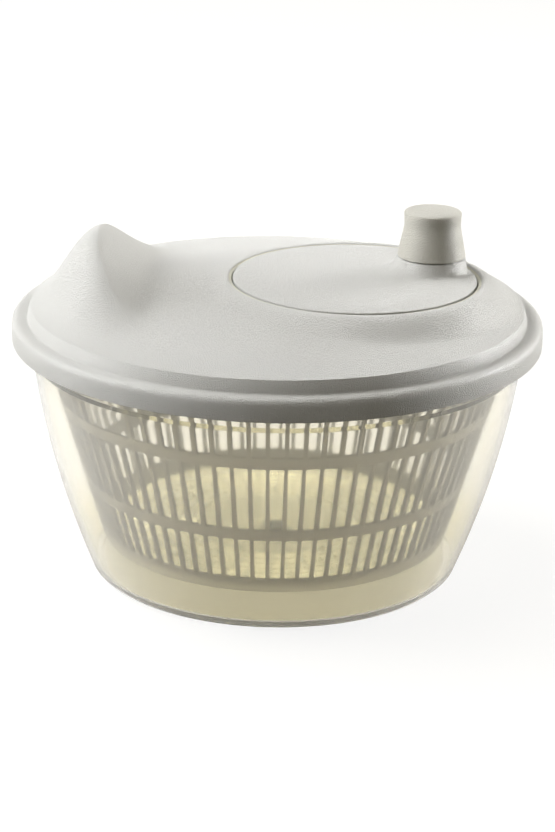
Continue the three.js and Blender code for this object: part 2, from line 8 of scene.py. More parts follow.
import bpy
import numpy as np
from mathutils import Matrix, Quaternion, Vector


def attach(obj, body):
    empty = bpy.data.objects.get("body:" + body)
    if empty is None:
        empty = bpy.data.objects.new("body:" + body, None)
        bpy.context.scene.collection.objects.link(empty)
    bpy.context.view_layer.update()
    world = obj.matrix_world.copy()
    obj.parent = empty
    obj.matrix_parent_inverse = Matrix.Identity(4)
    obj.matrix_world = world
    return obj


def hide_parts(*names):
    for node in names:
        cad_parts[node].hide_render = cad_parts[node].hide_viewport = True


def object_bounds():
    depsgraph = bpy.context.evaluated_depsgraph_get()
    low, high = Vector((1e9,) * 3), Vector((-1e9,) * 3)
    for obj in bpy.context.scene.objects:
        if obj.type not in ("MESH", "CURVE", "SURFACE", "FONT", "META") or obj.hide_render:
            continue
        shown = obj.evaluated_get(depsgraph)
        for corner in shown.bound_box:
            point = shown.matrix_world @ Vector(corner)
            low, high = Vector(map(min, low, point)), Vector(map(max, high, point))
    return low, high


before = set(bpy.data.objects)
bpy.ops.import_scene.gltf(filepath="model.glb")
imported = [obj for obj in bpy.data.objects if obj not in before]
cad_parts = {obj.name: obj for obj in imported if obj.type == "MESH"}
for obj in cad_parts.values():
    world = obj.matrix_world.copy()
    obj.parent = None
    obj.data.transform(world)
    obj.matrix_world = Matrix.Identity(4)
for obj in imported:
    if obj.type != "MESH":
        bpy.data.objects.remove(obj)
cad_low, cad_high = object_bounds()

MM = 0.001
TURN = math.radians(2.75)  # where the basket and its driver stand at rest

# ---- Driving dimensions, in millimetres ------------------------------------------------------------

BOWL = dict(foot=88.2, slope=0.4, bend=0.00132, wall=2.2, above=1.3, ledge=104.0, top=120.3, flange=121.8)
BASKET = dict(foot=78.6, slope=0.29, bend=0.0, wall=2.0, bottom=15.4, floor=17.6, top=113.0, flange=112.3)
RIBS = 80
# low and high end of each tier of slots, and the width of the rib between two slots at each end
TIERS = [(23.2, 44.8, 1.87, 1.4), (50.1, 83.0, 2.1, 1.4), (88.6, 107.0, 1.95, 1.75)]
CORNER_R = 0.7  # corners of the slots
FINGER_HOLES = (28, 68)  # first of the four slots that each finger hole joins
HOLE_SLOTS = 4
NOTCHES = 8
NOTCH_LOW = 109.0
NOTCH_RIB = 1.75  # the ribs' width from there up
FLOOR_RINGS = [39.2 + 5.83 * i for i in range(6)]  # middle of each ring of slots in the floor
FLOOR_SLOT = 2.7
FLOOR_ROW = 19.2  # the lowest row of the basket's wall
BOSS_R = (5.9, 8.9)
BOSS_LOW = 7.5
CORNER_STEPS = 6  # rows that turn the basket's wall into its floor
UNDERSIDE_TOP = 3.5  # the bowl is matt below this
BOWL_SEGMENTS = 192

LID = dict(rim=125.0, rim_low=112.4, rim_top=123.0, edge=116.0, edge_z=129.2, apex=141.0, shell=2.4)
SKIRT = dict(inner=112.6, outer=114.8, low=113.5)
WELL = dict(x=36.0, r=59.2, wall=2.0, lip=60.8, low=126.3, shoulder=18.0, ledge=140.35, ledge_r=58.0)
GRIP = dict(turn=math.radians(4), half=math.radians(52), crest=84.7, height=27.5)
GRIP.update(outer=33.0, inner=25.0, curve=1.8, lip=0.1)
CRANK = dict(r=57.4, top=141.0, plate=2.4, low=133.5, skirt=2.0, hub=9.0, spindle=4.0)
KNOB = dict(reach=40.9, turn=math.radians(26), base=147.3, r=16.2, waist=13.3, top=169.4)
KNOB_X = WELL["x"] + KNOB["reach"] * math.cos(KNOB["turn"])
KNOB_Y = KNOB["reach"] * math.sin(KNOB["turn"])
BOSS = dict(r=16.35, top=147.0, foot=21.0, ramp=12.0, bore=4.3, pocket=6.4, pocket_top=142.0)
COVER = dict(r=69.0, low=124.0, top=126.0, sleeve=9.0, bore=4.3, sleeve_top=133.0, bush=6.3, bush_top=128.3)
SCREW_R = 65.5
SCREW_ANGLES = [math.radians(a) for a in (50, 130, 230, 310)]
SCREWS = [(WELL["x"] + SCREW_R * math.cos(a), SCREW_R * math.sin(a)) for a in SCREW_ANGLES]
DRIVER = dict(r=111.6, rim=7.0, rim_top=115.3, rim_low=113.3, inner_top=118.5, hub=9.0, hub_low=112.2, hub_top=122.4)
LUGS = dict(count=8, width=7.0, inner=109.5, low=110.9)


# ---- Mesh helpers ----------------------------------------------------------------------------------


def wall(shape, z):
    """Outer radius of a wall of revolution at height z."""
    return shape["foot"] + shape["slope"] * z - shape["bend"] * z * z


def finish_mesh(name, verts, faces, body, nodes, material, sharp=35, second=None):
    """Makes a piece from points in millimetres, gives it its material and joins it to the frame.

    second is another material, and the first and the last face that have it.
    """
    mesh = bpy.data.meshes.new(name)
    mesh.from_pydata((np.asarray(verts, float) * MM).tolist(), [], [list(f) for f in faces])
    mesh.materials.append(material)
    if second:
        mesh.materials.append(second[0])
        index = np.zeros(len(mesh.polygons), np.int32)
        index[second[1] : second[2]] = 1
        mesh.polygons.foreach_set("material_index", index)
    mesh.validate()
    mesh.shade_smooth()
    mesh.set_sharp_from_angle(angle=math.radians(sharp))
    piece = bpy.data.objects.new(name, mesh)
    bpy.context.scene.collection.objects.link(piece)
    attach(piece, body)
    if nodes:
        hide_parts(*nodes)
    return piece


class Skin:
    """Gathers the points and faces of one piece."""

    def __init__(self):
        self.verts, self.faces = [], []

    def points(self, pts):
        start = len(self.verts)
        self.verts.extend(map(tuple, pts))
        return start

    def rings(self, rings, closed=True):
        """Faces between neighbouring rings of points. A ring of one point closes the skin at a pole."""
        starts = [(self.points(r), len(r)) for r in rings]
        pairs = list(zip(starts, starts[1:]))
        if closed:
            pairs.append((starts[-1], starts[0]))
        for (a, n), (b, m) in pairs:
            count = max(n, m)
            for j in range(count):
                k = (j + 1) % count
                if n == 1 and m == 1:
                    break
                if n == 1:
                    self.faces.append((a, b + k, b + j))
                elif m == 1:
                    self.faces.append((a + j, a + k, b))
                else:
                    self.faces.append((a + j, a + k, b + k, b + j))

    def lathe(self, profile, segments, x=0.0, y=0.0, closed=False):
        """A profile of (radius, z) turned about Z, anticlockwise when radius points right and z up."""
        rings = []
        for r, z in profile:
            rings.append([(x, y, z)] if r < 1e-6 else circle(r, segments, z, x, y))
        self.rings(rings, closed)

    def box(self, low, high, turn=0.0, x=0.0, y=0.0):
        """A box turned about Z, then moved."""
        corners = []
        for i in range(8):
            px, py, pz = (high[k] if i >> k & 1 else low[k] for k in range(3))
            c, s = math.cos(turn), math.sin(turn)
            corners.append((x + px * c - py * s, y + px * s + py * c, pz))
        start = self.points(corners)
        for f in ((0, 2, 3, 1), (4, 5, 7, 6), (0, 1, 5, 4), (2, 6, 7, 3), (0, 4, 6, 2), (1, 3, 7, 5)):
            self.faces.append(tuple(start + i for i in f))


def circle(r, segments, z, x=0.0, y=0.0, turn=-math.pi / 2):
    a = np.arange(segments) * 2 * math.pi / segments + turn
    return np.stack([x + r * np.cos(a), y + r * np.sin(a), np.full(segments, z)], 1).tolist()


def rounded(points, arc=5):
    """A profile with its corners rounded. Each point is (radius, z) or (radius, z, corner radius)."""
    out = []
    for i, p in enumerate(points):
        here = np.array(p[:2], float)
        if len(p) == 2 or i in (0, len(points) - 1):
            out.append(tuple(here))
            continue
        before = np.array(points[i - 1][:2], float) - here
        after = np.array(points[i + 1][:2], float) - here
        lb, la = np.linalg.norm(before), np.linalg.norm(after)
        before, after = before / lb, after / la
        half = math.acos(max(-1, min(1, float(before @ after)))) / 2
        cut = min(p[2] / math.tan(half), lb * 0.49, la * 0.49)
        for t in np.linspace(0, 1, arc):
            # quadratic arc between the two tangent points
            q = (1 - t) ** 2 * (here + before * cut) + 2 * t * (1 - t) * here + t * t * (here + after * cut)
            out.append(tuple(q))
    return out


def smooth(t):
    t = min(1.0, max(0.0, t))
    return t * t * (3 - 2 * t)


# ---- Materials -------------------------------------------------------------------------------------


def plastic(name, colour, roughness, **sockets):
    """Moulded plastic: its colour, a faint cloudiness, a fine grain and slow waves in the surface."""
    material = bpy.data.materials.new(name)
    material.use_nodes = True
    tree = material.node_tree
    shader = tree.nodes["Principled BSDF"]
    shader.inputs["Roughness"].default_value = roughness
    look = dict(cloud=0.04, cloud_size=30, grain=0.05, grain_size=2500, wave=0.0, wave_size=60, rough_spread=0.06)
    look.update({k: sockets.pop(k) for k in list(sockets) if k in look})
    for socket, value in sockets.items():
        shader.inputs[socket.replace("_", " ")].default_value = value
    coords = tree.nodes.new("ShaderNodeTexCoord")

    def noise(scale, detail, rough=0.5):
        n = tree.nodes.new("ShaderNodeTexNoise")
        n.inputs["Scale"].default_value = scale
        n.inputs["Detail"].default_value = detail
        n.inputs["Roughness"].default_value = rough
        tree.links.new(coords.outputs["Object"], n.inputs["Vector"])
        return n.outputs["Fac"]

    cloud = noise(look["cloud_size"], 4)
    ramp = tree.nodes.new("ShaderNodeValToRGB")
    ramp.color_ramp.elements[0].position = 0.3
    ramp.color_ramp.elements[1].position = 0.7
    dark = [c * (1 - look["cloud"]) for c in colour]
    ramp.color_ramp.elements[0].color = (*dark, 1)
    ramp.color_ramp.elements[1].color = (*colour, 1)
    tree.links.new(cloud, ramp.inputs["Fac"])
    tree.links.new(ramp.outputs["Color"], shader.inputs["Base Color"])

    spread = tree.nodes.new("ShaderNodeMapRange")
    spread.inputs["To Min"].default_value = roughness - look["rough_spread"]
    spread.inputs["To Max"].default_value = roughness + look["rough_spread"]
    tree.links.new(noise(look["cloud_size"] * 4, 5, 0.6), spread.inputs["Value"])
    tree.links.new(spread.outputs["Result"], shader.inputs["Roughness"])

    grain = tree.nodes.new("ShaderNodeBump")
    grain.inputs["Strength"].default_value = 1.0
    grain.inputs["Distance"].default_value = look["grain"] * MM * 100
    tree.links.new(noise(look["grain_size"], 2), grain.inputs["Height"])
    if look["wave"]:
        wave = tree.nodes.new("ShaderNodeBump")
        wave.inputs["Strength"].default_value = 1.0
        wave.inputs["Distance"].default_value = look["wave"] * MM
        tree.links.new(noise(look["wave_size"], 1), wave.inputs["Height"])
        tree.links.new(wave.outputs["Normal"], grain.inputs["Normal"])
    tree.links.new(grain.outputs["Normal"], shader.inputs["Normal"])
    return material


PALE_COLOUR = (0.81, 0.80, 0.75)
pale_lid = plastic("lid_plastic", PALE_COLOUR, 0.38, cloud=0.03, grain=0.04, wave=0.02, wave_size=40)
# Painted light: a lighter, warmer copy of the lid's plastic for the gap round the turntable, standing in for the shade
# there.
gap_painted_light = plastic("lid_gap_painted_light", (0.95, 0.93, 0.76), 0.4, cloud=0.03, grain=0.04)
pale_disc = plastic("turntable_plastic", PALE_COLOUR, 0.36, cloud=0.025, grain=0.04, wave=0.01, wave_size=40)
pale_knob = plastic("knob_plastic", (0.85, 0.82, 0.71), 0.42, cloud=0.03, grain=0.06)
pale_inner = plastic("inner_plastic", (0.76, 0.755, 0.71), 0.45, cloud=0.03, grain=0.15)
acetal = plastic("acetal", (0.84, 0.835, 0.80), 0.35, cloud=0.03, grain=0.1)
BOWL_LOOK = dict(
    cloud=0.02,
    grain=0.0,
    wave=0.03,
    wave_size=25,
    Transmission_Weight=0.87,
    IOR=1.4,
    Sheen_Weight=0.28,
    Sheen_Roughness=0.55,
)
bowl_clear = plastic("bowl_clear", (0.975, 0.96, 0.90), 0.06, rough_spread=0.03, **BOWL_LOOK)
bowl_matt = plastic("bowl_underside", (0.975, 0.96, 0.90), 0.5, rough_spread=0.06, **BOWL_LOOK)
basket_clear = plastic(
    "basket_clear",
    (0.95, 0.93, 0.83),
    0.45,
    cloud=0.03,
    rough_spread=0.06,
    grain=0.1,
    Transmission_Weight=0.63,
    IOR=1.25,
    Sheen_Weight=0.9,
    Sheen_Roughness=0.5,
)
# Painted light: a lighter, clearer copy of the basket's plastic for the basket's floor, so that the floor reads
# brighter than the same plastic would.
basket_floor_painted_light = plastic(
    "basket_floor_painted_light",
    (0.99, 0.975, 0.90),
    0.15,
    cloud=0.03,
    rough_spread=0.05,
    grain=0.05,
    Transmission_Weight=0.95,
    IOR=1.15,
    Sheen_Weight=0.2,
    Sheen_Roughness=0.4,
)
steel = plastic("steel", (0.62, 0.62, 0.61), 0.28, cloud=0.08, cloud_size=300, grain=0.05, Metallic=1.0)


# ---- Bowl ------------------------------------------------------------------------------------------


def build_bowl():
    b = BOWL
    outer = lambda z: wall(b, z)
    inner = lambda z: outer(z) - b["wall"]
    above = b["ledge"] + 2.5
    profile = [(0, 1.0), (outer(0) - 4.2, 1.0, 0.5), (outer(0) - 3.4, 0, 0.3), (outer(0) - 0.9, 0, 0.5)]
    profile += [(outer(z), z) for z in (1.3, *np.linspace(4, 115.6, 30))]
    profile += [(b["flange"] - 1.5, 117.5, 0.6), (b["flange"], 118.1, 0.3), (b["flange"], b["top"], 0.4)]
    profile += [(outer(b["top"]) - b["above"], b["top"], 0.4)]
    profile += [(outer(z) - b["above"], z) for z in np.linspace(118, above + 0.4, 5)]
    profile += [(outer(above) - b["above"], above, 0.3), (inner(b["ledge"]), b["ledge"], 0.3)]
    profile += [(inner(z), z) for z in np.linspace(b["ledge"] - 1, 7, 28)]
    profile += [(inner(4.0) - 0.3, 3.2, 2.5), (5.0, 3.2, 0.5), (3.4, 5.6, 0.6), (3.4, 13.4, 0.9), (0, 13.4)]
    profile = rounded(profile)
    skin = Skin()
    skin.lathe(profile, BOWL_SEGMENTS)
    below = next(i for i, p in enumerate(profile) if p[1] > UNDERSIDE_TOP)
    matt = (bowl_matt, 0, (below - 1) * BOWL_SEGMENTS)
    return finish_mesh("bowl_shell", skin.verts, skin.faces, "bowl", ["bowl"], bowl_clear, 40, matt)


# ---- Basket ----------------------------------------------------------------------------------------


def slot_inset(d):
    """How much narrower a slot is on each side at distance d from its end, where its corners are round."""
    if d >= CORNER_R:
        return 0.0
    return CORNER_R - math.sqrt(CORNER_R**2 - (CORNER_R - d) ** 2)


def build_basket():
    b = BASKET
    outer = lambda z: wall(b, z)
    pitch = 2 * math.pi / RIBS
    # Rows of the wall: height, outer radius, inner radius, the slot's width there, and the tier it is in
    rows = []

    def row(z, rib, tier=None, inset=0.0, out=None, inn=None):
        o = outer(z) if out is None else out
        i = outer(z) - b["wall"] if inn is None else inn
        rows.append((z, o, i, o * pitch - rib - 2 * inset, tier))

    row(FLOOR_ROW, TIERS[0][2])
    for tier, (low, high, rib_low, rib_high) in enumerate(TIERS):
        levels = [0, 0.08 * CORNER_R, 0.35 * CORNER_R, CORNER_R]
        middle = list(np.linspace(low + CORNER_R, high - CORNER_R, max(3, int((high - low) / 8))))[1:-1]
        zs = [low + d for d in levels] + middle + [high - d for d in reversed(levels)]
        for z in zs:
            share = (z - low) / (high - low)
            inset = max(slot_inset(z - low), slot_inset(high - z))
            row(z, rib_low + (rib_high - rib_low) * share, tier, inset)
    row(NOTCH_LOW, NOTCH_RIB)
    flange = b["top"] - 2.5
    row(flange - 0.25, NOTCH_RIB)
    row(flange, NOTCH_RIB, out=outer(flange) + 0.25)
    row(flange + 0.02, NOTCH_RIB, out=b["flange"] - 0.3)
    row(flange + 0.3, NOTCH_RIB, out=b["flange"])
    row(b["top"] - 0.4, NOTCH_RIB, out=b["flange"])
    row(b["top"] - 0.1, NOTCH_RIB, out=b["flange"] - 0.12, inn=outer(b["top"]) - b["wall"] + 0.1)
    row(b["top"], NOTCH_RIB, out=b["flange"] - 0.4, inn=outer(b["top"]) - b["wall"] + 0.4)

    # Columns: four to a pitch, at the rib's middle, the slot's left edge, its middle and its right edge
    columns = 4 * RIBS
    slot0 = -pitch / 2  # middle of slot 0, measured from -Y towards +X

    def azimuths(r, width):
        out = []
        for j in range(RIBS):
            c = slot0 + j * pitch
            h = width / 2 / r
            out += [c - pitch / 2, c - h, c, c + h]
        return np.array(out)

    def place(r, a, z):
        a = a + TURN
        return np.stack([r * np.sin(a), -r * np.cos(a), np.full(len(a), z)], 1)

    hole_slots = {j for first in FINGER_HOLES for j in range(first, first + HOLE_SLOTS)}

    def open_cell(r, j):
        """True where the wall between rows r and r + 1 has a hole at column j."""
        height, *_, tier = rows[r]
        tier_above = rows[r + 1][4] if r + 1 < len(rows) else None
        part, k = j % 4, j // 4
        if tier is not None and tier == tier_above:
            if part in (1, 2):
                return True
            if tier == len(TIERS) - 1 and k in hole_slots:
                # the rib right of this slot, or left of it, inside a finger hole
                beside = k + 1 if part == 3 else k - 1
                if beside in hole_slots:
                    return True
        if height >= NOTCH_LOW:
            # from the middle of one slot to the middle of the next, across the rib between them
            first = k if part in (2, 3) else k - 1
            return first % (RIBS // NOTCHES) == 0
        return False

    skin = Skin()
    outs, inns = [], []
    for z, o, i, width, _ in rows:
        a = azimuths(o, width)
        outs.append(skin.points(place(o, a, z)))
        inns.append(skin.points(place(i, a, z)))

    def quad(a, b_, c, d):
        skin.faces.append((a, b_, c, d))

    n_rows = len(rows)
    is_open = [[open_cell(r, j) for j in range(columns)] for r in range(n_rows)]
    for r in range(n_rows):
        cap = r == n_rows - 1  # the last row is the rim's top, between the outer and the inner skin
        for j in range(columns):
            if is_open[r][j]:
                continue
            k = (j + 1) % columns
            if cap:
                quad(outs[r] + j, outs[r] + k, inns[r] + k, inns[r] + j)
            else:
                quad(outs[r] + j, outs[r] + k, outs[r + 1] + k, outs[r + 1] + j)
                quad(inns[r] + k, inns[r] + j, inns[r + 1] + j, inns[r + 1] + k)
        if cap:
            break
        for j in range(columns):
            left = (j - 1) % columns
            if is_open[r][j] != is_open[r][left]:
                a, c = outs[r] + j, outs[r + 1] + j
                d, e = inns[r] + j, inns[r + 1] + j
                if is_open[r][j]:
                    quad(a, d, e, c)
                else:
                    quad(d, a, c, e)
    for r in range(1, n_rows - 1):
        for j in range(columns):
            k = (j + 1) % columns
            if is_open[r - 1][j] == is_open[r][j]:
                continue
            if is_open[r][j]:  # the bottom of a hole
                quad(outs[r] + j, outs[r] + k, inns[r] + k, inns[r] + j)
            else:
                quad(outs[r] + k, outs[r] + j, inns[r] + j, inns[r] + k)

    # The floor: the same columns run in over the corner, and the slots lie in rings between spokes
    floor_at = azimuths(outer(FLOOR_ROW), outer(FLOOR_ROW) * pitch * 0.75)

    def floor_row(out_r, out_z, in_r, in_z, ring=None):
        return (skin.points(place(out_r, floor_at, out_z)), skin.points(place(in_r, floor_at, in_z)), ring)

    path = [(outs[0], inns[0], None)]
    corner_out = outer(18.0)
    for t in np.linspace(0.15, 1, CORNER_STEPS):
        a = t * math.pi / 2
        # the corner turns from the wall's slope into the floor
        path.append(
            floor_row(
                corner_out - 3.0 * (1 - math.cos(a)) - 0.4 * t,
                18.6 - (18.6 - b["bottom"]) * math.sin(a),
                corner_out - 2.2 - 2.6 * (1 - math.cos(a)) - 0.3 * t,
                20.6 - (20.6 - b["floor"]) * math.sin(a),
            )
        )
    for index in reversed(range(len(FLOOR_RINGS))):
        r = FLOOR_RINGS[index]
        path.append(floor_row(r + FLOOR_SLOT / 2, b["bottom"], r + FLOOR_SLOT / 2, b["floor"], index))
        path.append(floor_row(r - FLOOR_SLOT / 2, b["bottom"], r - FLOOR_SLOT / 2, b["floor"]))
    for r in (24.0, 12.0):
        path.append(floor_row(r, b["bottom"], r, b["floor"]))

    def floor_open(step, j):
        ring = path[step][2]
        if ring is None:
            return False
        spokes, solid = (20, 3) if ring < 2 else (40, 2)
        return (j + solid // 2) % (columns // spokes) >= solid

    for s in range(len(path) - 1):
        if s == CORNER_STEPS:
            floor_start = len(skin.faces)
        (o0, i0, _), (o1, i1, _) = path[s], path[s + 1]
        for j in range(columns):
            k = (j + 1) % columns
            hole = floor_open(s, j)
            if not hole:
                quad(o0 + k, o0 + j, o1 + j, o1 + k)
                quad(i0 + j, i0 + k, i1 + k, i1 + j)
            left = floor_open(s, (j - 1) % columns)
            if hole != left:
                a, c, d, e = o0 + j, o1 + j, i0 + j, i1 + j
                if hole:
                    quad(a, c, e, d)
                else:
                    quad(c, a, d, e)
            if s and hole != floor_open(s - 1, j):
                if hole:  # the slot's outer side
                    quad(o0 + k, o0 + j, i0 + j, i0 + k)
                else:
                    quad(o0 + j, o0 + k, i0 + k, i0 + j)
    # The middle of the floor, with the boss that turns on the pivot bush
    last_out, last_in, _ = path[-1]
    inner_r, outer_r = BOSS_R
    boss = rounded(
        [
            (12, b["bottom"]),
            (outer_r, b["bottom"], 0.8),
            (outer_r, BOSS_LOW, 0.4),
            (inner_r, BOSS_LOW, 0.4),
            (inner_r, b["bottom"]),
        ]
    )
    below = [last_out]
    for r, z in boss[1:]:
        below.append(skin.points(place(r, floor_at, z)))
    for p, q in zip(below, below[1:]):
        for j in range(columns):
            k = (j + 1) % columns
            quad(p + k, p + j, q + j, q + k)
    pole_low = skin.points([(0, 0, b["bottom"])])
    pole_high = skin.points([(0, 0, b["floor"])])
    for j in range(columns):
        k = (j + 1) % columns
        skin.faces.append((below[-1] + k, below[-1] + j, pole_low))
        skin.faces.append((last_in + j, last_in + k, pole_high))
    # The floor takes the lighter, clearer copy of the basket's plastic: painted light.
    second = (basket_floor_painted_light, floor_start, len(skin.faces))
    return finish_mesh(
        "basket_body", skin.verts, skin.faces, "basket", ["basket"], basket_clear, 30, second
    )


# ---- Lid -------------------------------------------------------------------------------------------


def grip_height(x, y):
    g = GRIP
    r = math.hypot(x, y)
    along = abs(math.atan2(y, -x) - g["turn"]) / g["half"]
    if along >= 1:
        return 0.0
    crest = g["height"] * math.cos(math.pi / 2 * along) ** 2
    outward = (r - g["crest"]) / g["outer"]
    if outward >= 0:
        return crest * math.cos(math.pi / 2 * outward) ** 2 if outward < 1 else 0.0
    inward = (g["crest"] - r) / (g["inner"] * math.cos(math.pi / 2 * along))
    if inward >= 1:
        return 0.0
    fallen = (1 + g["lip"]) * inward**2 / (inward + g["lip"])
    return crest * (1 - fallen) ** g["curve"]


def lid_top(x, y):
    fall = LID["apex"] - LID["edge_z"] + 0.6
    dome = LID["apex"] - fall * (x * x + y * y) / LID["edge"] ** 2
    lip = smooth((math.hypot(x - WELL["x"], y) - WELL["lip"]) / WELL["shoulder"])
    return dome + (LID["apex"] - dome) * (1 - lip) + grip_height(x, y)


def lid_under(x, y):
    h = 2.0
    slope_x = (lid_top(x + h, y) - lid_top(x - h, y)) / (2 * h)
    slope_y = (lid_top(x, y + h) - lid_top(x, y - h)) / (2 * h)
    return lid_top(x, y) - LID["shell"] * min(2, math.hypot(1, slope_x, slope_y))


LID_SEGMENTS = 288
GAP_RINGS = 4
CREST_SHARE = 0.64


def crest_share(a, inner_r, outer_r):
    """Where the line from the well to the dome's edge, in direction a, crosses the grip's crest."""
    def radius(u):
        r = inner_r + (outer_r - inner_r) * u
        return math.hypot(WELL["x"] * (1 - u) + r * math.cos(a), r * math.sin(a))

    off = abs(a % (2 * math.pi) - math.pi)
    blend = smooth((math.radians(105) - off) / math.radians(40))
    if blend <= 0 or radius(0.05) > GRIP["crest"]:
        return CREST_SHARE
    low, high = 0.05, 1.0
    for _ in range(40):
        mid = (low + high) / 2
        low, high = (mid, high) if radius(mid) < GRIP["crest"] else (low, mid)
    return CREST_SHARE + (low - CREST_SHARE) * blend


def build_lid():
    angles = np.arange(LID_SEGMENTS) * 2 * math.pi / LID_SEGMENTS

    def sheet(shares, inner_r, outer_r, height):
        crest = [crest_share(a, inner_r, outer_r) for a in angles]
        rings = []
        for v in shares:
            ring = []
            for a, c in zip(angles, crest):
                u = v / CREST_SHARE * c if v < CREST_SHARE else c + (v - CREST_SHARE) / (1 - CREST_SHARE) * (1 - c)
                r = inner_r + (outer_r - inner_r) * u
                x, y = WELL["x"] * (1 - u) + r * math.cos(a), r * math.sin(a)
                ring.append((x, y, height(x, y)))
            rings.append(ring)
        return rings

    def flat(profile, x=0.0):
        return [circle(r, LID_SEGMENTS, z, x, 0, 0) for r, z in profile]

    near = [-0.03, -0.016, -0.008, -0.0035, 0, 0.0035, 0.008, 0.016, 0.03]
    top = [*np.linspace(0, 0.6, 30), *[CREST_SHARE + d for d in near], *np.linspace(0.68, 1, 20)]
    under = np.linspace(0, 1, 36)
    l, k, w = LID, SKIRT, WELL
    roof = l["rim_top"] - l["shell"]
    inside = l["rim"] - 2.2
    # From the well's lower edge, under the dome, round the skirt and the rim
    lower = flat([(w["ledge_r"], w["low"]), (w["r"] + w["wall"], w["low"])], w["x"])
    rim = rounded(
        [
            (k["inner"], lid_under(k["inner"], 0) - 0.5),
            (k["inner"], k["low"], 0.4),
            (k["outer"], k["low"], 0.4),
            (k["outer"], roof, 0.8),
            (inside, roof, 0.8),
            (inside, l["rim_low"], 0.5),
            (l["rim"], l["rim_low"], 0.5),
            (l["rim"], 119.0),
            (l["rim"] - 0.05, 120.2),
            (l["rim"] - 0.35, 121.5),
            (l["rim"] - 1.0, 122.4),
            (l["rim"] - 2.1, 122.9),
            (l["rim"] - 3.6, 123.0),
            (l["rim"] - 5.4, 122.75),
            (l["edge"] + 2.2, 122.6, 0.3),
            (l["edge"] + 1.5, 122.9, 0.6),
            (l["edge"] + 0.9, 126.4),
            (l["edge"] + 0.5, 127.1),
        ]
    )
    lip = [
        (w["lip"] - 0.4, l["apex"] - 0.04),
        (w["r"] + 0.7, l["apex"] - 0.16),
        (w["r"] + 0.2, l["apex"] - 0.42),
        (w["r"], w["ledge"]),
        (w["ledge_r"] + 0.25, w["ledge"]),
        (w["ledge_r"], w["ledge"] - 0.25),
    ]
    rings = lower + sheet(under, w["r"] + w["wall"], k["inner"], lid_under) + flat(rim)
    rings += list(reversed(sheet(top, w["lip"], l["edge"], lid_top))) + flat(lip, w["x"])
    skin = Skin()
    skin.rings(rings)
    # The last rings are the gap round the turntable. They take a lighter, warmer copy of the lid's plastic: painted
    # light over the shade in the gap.
    gap = (gap_painted_light, (len(rings) - GAP_RINGS) * LID_SEGMENTS, len(rings) * LID_SEGMENTS)
    for x, y in SCREWS:
        around = np.linspace(0, 6.283, 9)
        roof_z = min(lid_under(x + 4 * math.cos(a), y + 4 * math.sin(a)) for a in around) + 1.2
        tube = [(1.8, w["low"]), (4, w["low"]), (4, roof_z), (1.8, roof_z)]
        skin.lathe(tube, 32, x, y, closed=True)
    return finish_mesh("lid_shell", skin.verts, skin.faces, "lid", ["lid"], pale_lid, 32, gap)


# ---- Turntable, knob and what lies under them ------------------------------------------------------


def build_disc():
    c, s = CRANK, BOSS
    count = 288
    angles = np.arange(count) * 2 * math.pi / count

    def edge(a, r):
        along = KNOB["reach"] * math.cos(a - KNOB["turn"])
        return -along + math.sqrt(along**2 + r**2 - KNOB["reach"] ** 2)

    def ring(radius, z):
        return [(KNOB_X + radius(a) * math.cos(a), KNOB_Y + radius(a) * math.sin(a), z) for a in angles]

    def fixed(r, z):
        return ring(lambda a: r, z)

    def rim(r, z):
        return ring(lambda a: edge(a, r), z)

    def foot(a):
        inwards = max(0.0, -math.cos(a - KNOB["turn"])) ** 3
        return min(s["foot"] + s["ramp"] * inwards, edge(a, c["r"] - 0.45) - 0.02)

    under = c["top"] - c["plate"]
    rise = s["top"] - c["top"]
    rings = [fixed(s["pocket"], under), fixed(s["pocket"], s["pocket_top"])]
    rings += [fixed(s["bore"], s["pocket_top"]), fixed(s["bore"], s["top"])]
    rings += [fixed(s["r"] - d, s["top"] - z) for d, z in ((0.5, 0), (0.25, 0.06), (0.08, 0.22), (0.0, 0.5))]
    for t in (0.03, 0.07, 0.13, 0.2, 0.28, 0.37, 0.47, 0.58, 0.7, 0.82, 0.92, 1.0):
        height = (rise - 0.5) * (1 - t) ** 3
        rings.append(ring(lambda a, t=t: s["r"] + (foot(a) - s["r"]) * t, c["top"] + height))
    for t in (0.35, 0.7):
        rings.append(ring(lambda a, t=t: foot(a) + (edge(a, c["r"] - 0.45) - foot(a)) * t, c["top"]))
    rings += [rim(c["r"] - d, c["top"] - z) for d, z in ((0.42, 0.0), (0.2, 0.05), (0.06, 0.18), (0.0, 0.42))]
    inside = c["r"] - c["skirt"]
    rings += [rim(c["r"], c["low"] + 0.3), rim(c["r"] - 0.3, c["low"])]
    rings += [rim(inside + 0.3, c["low"]), rim(inside, c["low"] + 0.3), rim(inside, under)]
    skin = Skin()
    skin.rings(rings[::-1])
    pilot_r, pilot_top, spindle_low, hub_low, hub_top = 1.8, 134.5, 123.7, 133.4, under + 0.8
    hub = [(pilot_r, pilot_top), (pilot_r, spindle_low), (c["spindle"], spindle_low)]
    hub += [(c["spindle"], hub_low), (c["hub"], hub_low), (c["hub"], hub_top)]
    # The side, and then the pilot hole's end and the hub's top
    for profile in (hub, [(0, pilot_top), (pilot_r, pilot_top)], [(c["hub"], hub_top), (0, hub_top)]):
        skin.lathe(profile, 64, WELL["x"])
    return finish_mesh("turntable", skin.verts, skin.faces, "crank", ["crank_disc"], pale_disc, 32)


